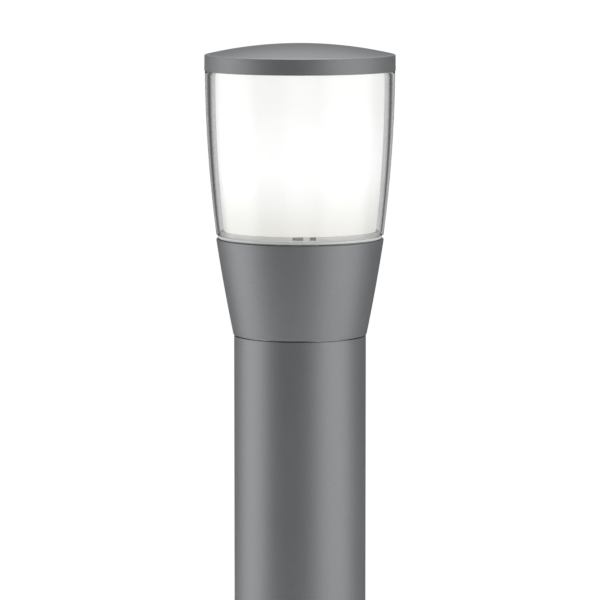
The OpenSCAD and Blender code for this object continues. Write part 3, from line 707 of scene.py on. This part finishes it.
def area_light(name, azimuth, distance, height, size, energy, soft=0.0):
    """A soft light; azimuth in degrees from the camera's side, positive towards +X.

    soft is how far in from each upright edge it fades, as a part of its width.
    """
    data = bpy.data.lights.new(name, "AREA")
    data.shape = "RECTANGLE"
    data.size, data.size_y = size
    data.energy = energy
    if soft:
        data.use_nodes = True
        fade = Nodes(data.node_tree)
        across = fade.separate(fade.add("ShaderNodeNewGeometry").outputs["Parametric"])[0]
        strength = fade.span(fade.math("PINGPONG", across, 0.5), 0.0, soft, 0.0, 1.0, "SMOOTHSTEP")
        fade.put(fade.tree.nodes["Emission"].inputs["Strength"], strength)
    t = math.radians(azimuth)
    light = aimed(data, (distance * math.sin(t), -distance * math.cos(t), height), LIGHTS_AIM)
    light.visible_camera = False
    light.visible_transmission = False


camera_data = bpy.data.cameras.new("camera")
camera_data.sensor_width = 36
camera_data.lens = 246.1
camera_data.clip_end = 50
bpy.context.scene.camera = aimed(camera_data, CAMERA_AT, CAMERA_AIM)

area_light("softbox_left", -88.5, 1.9, 0.8, (3.0, 2.4), 49.5, 0.34)
area_light("softbox_right", 61, 1.9, 0.8, (3.6, 2.4), 52, 0.32)
area_light("softbox_top", 180, 0.25, 2.8, (1.8, 1.8), 36.5)


def studio_world():
    """A white backdrop to the camera, a dim room to reflections and a pale card behind the clear shell."""
    world = bpy.data.worlds.new("studio")
    world.use_nodes = True
    sky = Nodes(world.node_tree)
    sky.tree.nodes.clear()
    rays = sky.add("ShaderNodeLightPath").outputs
    x, y, z = sky.separate(sky.add("ShaderNodeTexCoord").outputs["Generated"])
    room = sky.span(z, 0.3, 0.9, 0.06, 0.3)
    rise = sky.span(z, 0.25, 0.58, 0.0, 0.86, "SMOOTHSTEP")
    behind = sky.span(y, 0.0, 0.5, 0.0, 1.0)
    glow = sky.math("MULTIPLY_ADD", rise, behind, room)
    # What the clear shell refracts: the card, and a dimmer room on either side of it
    aside = sky.math("ABSOLUTE", sky.math("SUBTRACT", x, 0.02))
    card = sky.span(aside, 0.2, 0.44, 0.92, 0.14, "SMOOTHSTEP")
    card = sky.math("ADD", card, sky.span(aside, 0.55, 0.85, 0.0, 0.18, "SMOOTHSTEP"))
    seen = sky.either(rays["Is Transmission Ray"], glow, card)
    strength = sky.either(rays["Is Camera Ray"], seen, 1.02)
    light = sky.add("ShaderNodeBackground", {"Color": (1, 1, 1, 1), "Strength": strength})
    sky.add("ShaderNodeOutputWorld", {"Surface": light.outputs[0]})
    return world


bpy.context.scene.world = studio_world()
bpy.context.scene.view_settings.view_transform = "Standard"
bpy.context.scene.view_settings.look = "None"

floor = lathe("floor", [(0, -10), (1850, -10), (1850, -0.3), (0, -0.3)], 96)
floor_shade = Shade("pale_floor", (0.86, 0.86, 0.86), 0.6)
floor_shade.set("Roughness", floor_shade.span(floor_shade.noise(30, 3), 0.3, 0.7, 0.55, 0.7))
floor.data.materials.append(floor_shade.material)


# ---- Lantern head ----


def build_cap():
    _, band_r, low, top = size_of("cap")
    groove_ir, groove_r, _, groove_top = size_of("cap_bond")
    lip_r, lip_z = 70.8, low + 3.4
    boss_r, boss_z, hole_r, hole_top = 6, 981.4, 1.9, 994
    ceiling = dome(top - 3, DOME_R, boss_r, lip_r - 0.5)
    outline = rounded(
        [(groove_r, low, 0.25), (band_r, low, 0.5), (band_r - 0.1, BAND_TOP - 0.05, 0.9)]
        + dome(top, DOME_R, 77.8, 0)
        + [(0, hole_top), (hole_r, hole_top, 0.2), (hole_r, boss_z, 0.3), (boss_r, boss_z, 0.4),
           (boss_r, ceiling[0][1], 1.0)]
        + ceiling[1:]
        + [(lip_r, low + 9.5, 0.8), (lip_r, lip_z, 0.5), (groove_ir, lip_z, 0.5),
           (groove_ir, groove_top, 0.3), (groove_r, groove_top, 0.3)]
    )
    return weighted(lathe("cap_casting", outline, 256))


def build_clear_shell():
    foot_ir, top_r, low, tongue_top = size_of("clear_shell")
    foot_r, top_ir = foot_ir + 2.7, top_r - 4.3
    tongue_ir, tongue_r = 74.7, 76.6
    outline = rounded(
        [(foot_ir, low, 0.3), (68.0, low, 0.5)]
        + arc_about((foot_r - 1.5, low + 1.5), 1.5, -70, 0, 8)
        + arc_between((foot_r, low + 1.7), (top_r, CAP_Z - 0.4), SHELL_SIDE_R, 48)
        + [(top_r - 0.1, CAP_Z), (tongue_r, CAP_Z, 0.3), (tongue_r, tongue_top, 0.3),
           (tongue_ir, tongue_top, 0.3)]
        + arc_between((foot_ir, low + 1), (top_ir, CAP_Z), SHELL_SIDE_R, 48)[::-1]
    )
    return lathe("clear_shell_moulding", outline, 256)


def build_opal_shell():
    foot_ir, _, low, top = size_of("opal_shell")
    top_r, wall, corner = 70, 2.4, 0.5
    foot_r, top_ir = foot_ir + wall, top_r - wall
    outer = arc_between((foot_r, low + corner), (top_r, top - corner), SHELL_SIDE_R, 40)
    inner = arc_between((foot_ir, low + corner), (top_ir, top - corner), SHELL_SIDE_R, 40)
    outline = (
        [(foot_r - corner, low)] + outer + [(top_r - 0.4, top), (top_ir + 0.4, top)]
        + inner[::-1] + [(foot_ir + corner, low)]
    )
    return lathe("opal_shade", outline, 256)


def build_neck():
    bore_r, flange_r, foot, rim_top = size_of("neck_ring")
    skirt_r = 63.2
    neck = lathe("neck_casting", rounded([
        (bore_r, foot, 0.3), (skirt_r - 0.6, foot, 0.3), (skirt_r, foot + 1, 0.3), (skirt_r, FLANGE_Z, 0.3),
        (flange_r, FLANGE_Z, 0.3), (flange_r, SHELL_Z, 0.3), (RIM_R, SHELL_Z, 0.2), (RIM_R, rim_top, 0.4),
        (bore_r, rim_top, 0.4)
    ]), 256)
    # Pockets in the rim, as the angle of each and its width
    for angle, width in ((268.5, 8.5), (279, 5), (28.5, 8.5), (39, 5), (148.5, 8.5), (159, 5)):
        a = math.radians(angle)
        ring = []
        for r, y in ((63.6, -width / 2), (68, -width / 2), (68, width / 2), (63.6, width / 2)):
            ring.append((r * math.cos(a) - y * math.sin(a), r * math.sin(a) + y * math.cos(a)))
        levels = (SHELL_Z + 1.2, SHELL_Z + 6)
        combine(neck, loft("slot", [[(x * MM, y * MM, z * MM) for x, y in ring] for z in levels]))
    return weighted(neck)


def build_bead(name, node, corner, inset=0.0):
    """A ring of rectangular section, as its CAD node has, held back by inset from the walls beside it."""
    inner, outer, low, high = size_of(node)
    inner, outer = inner + inset, outer - inset
    return lathe(name, rounded([
        (inner, low, corner), (outer, low, corner), (outer, high, corner), (inner, high, corner)
    ]), 192)


def build_reflector():
    hole_r, rim_r, low, high = size_of("reflector_disc")
    sheet, seat = 1.2, size_of("opal_shell")[3]
    return weighted(lathe("reflector_pressing", rounded([
        (hole_r, high - sheet, 0.1), (58, high - sheet, 1.5), (62, low, 1.2), (66.6, low, 0.5),
        (67, seat, 0.3), (rim_r, seat, 0.3), (rim_r, seat + sheet, 0.3), (66, seat + sheet, 0.5),
        (65.6, low + sheet, 0.5), (62.6, low + sheet, 0.8), (58.6, high, 1.5), (hole_r, high, 0.1)
    ]), 192))


ride_as(build_cap(), "head", "coated_aluminium", "cap")
ride_as(build_clear_shell(), "head", "clear_acrylic", "clear_shell")
ride_as(build_opal_shell(), "head", "opal_acrylic", "opal_shell")
ride_as(build_neck(), "head", "pale_grey_plastic", "neck_ring")
ride_as(build_bead("head_seal_ring", "head_seal", 0.3), "head", "silicone", "head_seal")
ride_as(build_bead("cap_bond_bead", "cap_bond", 0.2, 0.05), "head", "silicone", "cap_bond")
ride_as(build_reflector(), "head", "white_reflector", "reflector_disc")


# ---- Collar and post ----


def build_collar():
    gland_r, foot_r, top_r, wall = size_of("collar")[0], 55.6, 69.8, 3.5
    bore_r, ledge_z = size_of("head_seal")[0] - 0.2, size_of("neck_ring")[2] - 2
    side = arc_between((foot_r, COLLAR_Z), (top_r, COLLAR_TOP), COLLAR_SIDE_R, 44)
    outer = [p for p in side if COLLAR_Z + 0.9 < p[1] < COLLAR_TOP - 0.9]
    inner = [(r - wall, z) for r, z in side if FLOOR_TOP + 3.1 < z < ledge_z - 1]
    outline = rounded(
        [(gland_r, COLLAR_Z, 0.4), (foot_r - 0.05, COLLAR_Z, 0.6)] + outer
        + [(top_r - 0.05, COLLAR_TOP, 0.7), (bore_r, COLLAR_TOP, 0.4), (bore_r, ledge_z, 0.2),
           (bore_r - 0.95, ledge_z, 0.3)]
        + inner[::-1]
        + [(53.1, FLOOR_TOP + 2.2), (50.6, FLOOR_TOP + 0.2), (49.0, FLOOR_TOP), (gland_r, FLOOR_TOP, 0.4)]
    )
    collar = lathe("collar_casting", outline, 256)
    for angle in SET_SCREW_ANGLES:
        hole = lathe("hole", [(0, 58), (2.5, 58), (2.5, 67.2), (3.1, 68.6), (3.1, 80), (0, 80)], 48)
        combine(collar, outward(hole, angle, 0, SET_SCREW_Z))
    return weighted(collar)


def build_tube():
    tube = lathe("post_tube_drawn", rounded([
        (POST_IR, BASE_TOP, 0.2), (POST_R, BASE_TOP, 0.3), (POST_R, POST_TOP, 0.4), (POST_IR, POST_TOP, 0.3)
    ]), 256)
    layers = ((0.6, -4), (0.5, -0.05), (0.22, 0.08), (0.06, 0.24), (0.0, 0.5), (0.0, 4), (0.0, 30))
    combine(tube, wall_cutter("opening", DOOR_W, DOOR_H, DOOR_CORNER, DOOR_Z, POST_R, layers))
    for angle in BASE_SCREW_ANGLES:
        sink = lathe("sink", [(0, -9), (3.2, -9), (3.2, -2.4), (5.6, 0), (5.9, 0.5), (6.2, 3), (0, 3)], 64)
        combine(tube, outward(sink, angle, POST_R - 0.5, BASE_SCREW_Z))
    return weighted(tube)


def build_door():
    w, h = DOOR_W - 2 * DOOR_GAP, DOOR_H - 2 * DOOR_GAP
    inner_r, low, high = size_of("service_door")[0], DOOR_Z - 5, DOOR_TOP + 5
    door = lathe("door_panel", [(inner_r, low), (POST_R, low), (POST_R, high), (inner_r, high)], 256)
    layers = (
        (-0.5, -4), (-0.45, 0.0), (-0.2, 0.1), (-0.05, 0.25), (0.0, 0.5), (0.0, 2.3), (-0.3, 2.7), (-0.3, 30),
    )
    outline = wall_cutter("outline", w, h, DOOR_CORNER - DOOR_GAP, DOOR_Z + DOOR_GAP, POST_R, layers)
    combine(door, outline, "INTERSECT")
    for z in DOOR_SCREW_ZS:
        sink = lathe("sink", [(0, -9), (2.6, -9), (2.6, -2.2), (4.8, 0), (5.1, 0.4), (5.4, 3), (0, 3)], 64)
        combine(door, outward(sink, DOOR_ANGLE, POST_R - 0.4, z))
    return weighted(door)


def build_base():
    bore_r, base_r, _, spigot_top = size_of("base_plate")
    spigot_r, spigot_ir = POST_IR - 0.1, 45
    base = lathe("base_casting", rounded(
        [(bore_r, 0, 0.6), (base_r - 0.4, 0, 0.8), (base_r, 1.2, 0.4), (base_r, 4.8)]
        + arc_about((base_r - 2, 5), 2, 10, 78)
        + [(62, BASE_TOP, 3.0), (55.6, BASE_TOP, 0.2), (spigot_r, BASE_TOP, 0.2),
           (spigot_r, spigot_top - 0.8, 0.5), (spigot_r - 0.7, spigot_top, 0.5), (spigot_ir, spigot_top, 0.8),
           (spigot_ir, BASE_TOP + 1, 1.5), (bore_r, BASE_TOP, 0.6)]
    ), 256)
    anchor_circle_r, hole_r = 70, 5.5
    for angle in (45, 135, 225, 315):
        t = math.radians(angle)
        combine(base, lathe("drill", [
            (0, -2), (hole_r + 0.7, -2), (hole_r + 0.7, -0.1), (hole_r, 0.6), (hole_r, 7.9),
            (hole_r + 0.6, 8.7), (hole_r + 1.1, 12), (0, 12)
        ], 64, (anchor_circle_r * math.cos(t), anchor_circle_r * math.sin(t))))
    return weighted(base)


ride_as(build_collar(), "post", "coated_aluminium", "collar")
ride_as(build_tube(), "post", "coated_aluminium", "post_tube")
ride_as(build_door(), "door", "coated_aluminium", "service_door")
ride_as(build_base(), "post", "coated_aluminium", "base_plate")


def build_door_screws():
    screws = []
    for z in DOOR_SCREW_ZS:
        screw = flat_screw("screw", d=4.8, length=14, head_d=9.2, key=3.5)
        screws.append(outward(screw, DOOR_ANGLE, POST_R - 0.45, z))
    return join("door_screw_pair", screws)


def build_base_screws():
    screws = []
    for angle in BASE_SCREW_ANGLES:
        screw = flat_screw("screw", d=5.9, length=9, head_d=10.8, key=4.6)
        screws.append(outward(screw, angle, POST_R - 0.55, BASE_SCREW_Z))
    return join("base_screw_set", screws)


def build_set_screws():
    screws = []
    for angle in SET_SCREW_ANGLES:
        screw = lathe("screw", rounded([
            (0, 0), (2.0, 0, 0.1), (2.4, 0.5, 0.1), (2.4, 4.3, 0.15), (2.1, 4.6, 0.1), (0, 4.6)
        ]), 48)
        combine(screw, hex_socket("socket", r_across=1.45, z0=2.2, z1=4.62, flare=0.2))
        screws.append(outward(screw, angle, SET_SCREW_R, SET_SCREW_Z))
    return join("set_screw_pair", screws)


ride_as(build_door_screws(), "door", "stainless_steel", "door_screws")
ride_as(build_base_screws(), "post", "stainless_steel", "base_screws")
ride_as(build_set_screws(), "post", "stainless_steel", "head_set_screws")


# ---- Lamp and its holder ----


def build_lamp_body():
    _, joint_r, low, joint_z = size_of("lamp_body")
    board_z = size_of("lamp_led_board")[2]
    return weighted(lathe("lamp_housing", rounded(
        [(0, low), (11.3, low, 0.2), (11.3, low + 4.2, 0.1), (13.2, low + 4.2, 0.3), (14, low + 6, 0.4)]
        + arc_between((17, low + 9), (joint_r, joint_z - 0.4), 90, 16)
        + [(joint_r - 0.3, joint_z), (22.5, joint_z, 0.2), (22.5, board_z, 0.2), (19, board_z, 0.3),
           (15, low + 11, 2), (11, low + 7, 1), (0, low + 7)]
    ), 128))


def build_bulb():
    joint_z, top = size_of("lamp_dome")[2:]
    r, wall = 30, 1.2
    centre = (0, top - r)
    start, start_inside = (math.degrees(math.asin((joint_z - top + r) / at)) for at in (r, r - wall))
    outline = arc_about(centre, r, start, 90, 40) + arc_about(centre, r - wall, 90, start_inside, 40)
    return lathe("lamp_globe", outline, 128)


def build_contact():
    flat_r, edge_r, low, high = size_of("lamp_contact")
    corner = edge_r - flat_r
    return lathe("lamp_tip_contact", [(0, low), (flat_r, low)]
                 + arc_about((flat_r, low + corner), corner, -80, 0) + [(edge_r, high), (0, high)], 64)


def build_insulator():
    low_r, high_r, low, high = size_of("lamp_insulator")
    return lathe("lamp_glass_insulator", rounded([
        (0, low), (low_r, low, 0.4), (high_r - 0.4, high - 1.5, 0.8), (high_r, high), (0, high)
    ]), 96)


def build_holder():
    contact_hole_r, mouth_r, low, top = size_of("holder_body")
    nipple_r, bore_r, waist_r, foot_r = size_of("holder_bracket")[0], 14.4, 19, 15
    pocket_r, pocket_low, pocket_high, bore_low = 13, 819.5, 825.5, size_of("holder_sleeve")[2]
    return weighted(lathe("holder_ceramic", rounded(
        [(nipple_r, low, 0.3), (foot_r, low, 0.5)] + arc_about((foot_r, low + 4), 4, -80, 0)
        + [(waist_r, low + 5), (waist_r, LAMP_Z - 2, 0.8), (mouth_r, LAMP_Z, 0.8), (mouth_r, top, 1.5),
           (bore_r + 1, top, 0.6), (bore_r, top - 1, 0.3), (bore_r, bore_low, 0.3),
           (contact_hole_r, bore_low, 0.1), (contact_hole_r, pocket_high), (pocket_r, pocket_high, 0.5),
           (pocket_r, pocket_low, 0.5), (nipple_r, pocket_low)]
    ), 128))


ride_as(build_lamp_body(), "lamp", "white_plastic", "lamp_body")
ride_as(build_bulb(), "lamp", "lamp_diffuser", "lamp_dome")
ride_as(threaded("lamp_cap_thread", "lamp_screw_cap", True), "lamp", "nickel_brass", "lamp_screw_cap")
ride_as(build_contact(), "lamp_base", "nickel_brass", "lamp_contact")
ride_as(build_insulator(), "lamp_base", "black_plastic", "lamp_insulator")
ride_as(build_holder(), "post", "ceramic", "holder_body")
ride_as(threaded("holder_thread_sleeve", "holder_sleeve", False), "post", "nickel_brass", "holder_sleeve")


# ---- Leads, as part.scad routes them ----

LEAD = (
    (0, -14, 330), (0, -14, 345), (0, -14, 365), (1, -14, 390), (4, -12, 430), (7, -8, 480), (5, -3, 535),
    (-2, 1, 590), (-5, 2, 640), (-2, 1, 690), (0, 0, 725), (0, 0, 750), (0, 0, 780), (0, 0, 810),
)
LEAD_R, CORE_R = 3.5, 1.1
ride_as(swept("lamp_lead_sheath", LEAD, LEAD_R, 24), "post", "black_rubber", "lamp_lead")

CORES = (
    ("core_brown", CORE_BROWN, (
        (-1.2, -15.3, 329.6), (-1.2, -16, 326.5), (-1.5, -20, 323.5), (-2, -25, 321.5), (-2, -26, 317),
        (-2, -26, 313.5),
    )),
    ("core_blue", MATERIALS["core_insulation"], (
        (-1.2, -12.7, 329.6), (-4, -12, 325), (-13, -13, 316), (-18, -17, 300), (-19, -22, 275),
        (-18, -26, 255), (-17.2, -27.8, 244), (-17.2, -27.8, 236),
    )),
    ("core_earth", CORE_EARTH, (
        (1.4, -14, 329.6), (5, -13, 325), (13, -14, 316), (18, -18, 298), (19, -23, 274), (18, -26, 254),
        (17.2, -27.8, 244), (17.2, -27.8, 236),
    )),
    ("core_brown_link", CORE_BROWN, (
        (0, -26, 264.5), (0, -26, 261), (0, -25.5, 256), (0, -26.5, 248), (0, -27.8, 243), (0, -27.8, 236),
    )),
)
for name, material, route in CORES:
    ride_as(swept(name, route, CORE_R, 16), "post", "core_insulation", "lead_cores", material)


# ---- The CAD nodes keep their shape and get a material each, which softens how their edges look ----

for name, node in frame["nodes"].items():
    slot = next(s["material_slot"] for s in frame["record"]["subparts"] if s["node"] == name)
    node.data.materials.clear()
    node.data.materials.append(MATERIALS[slot])
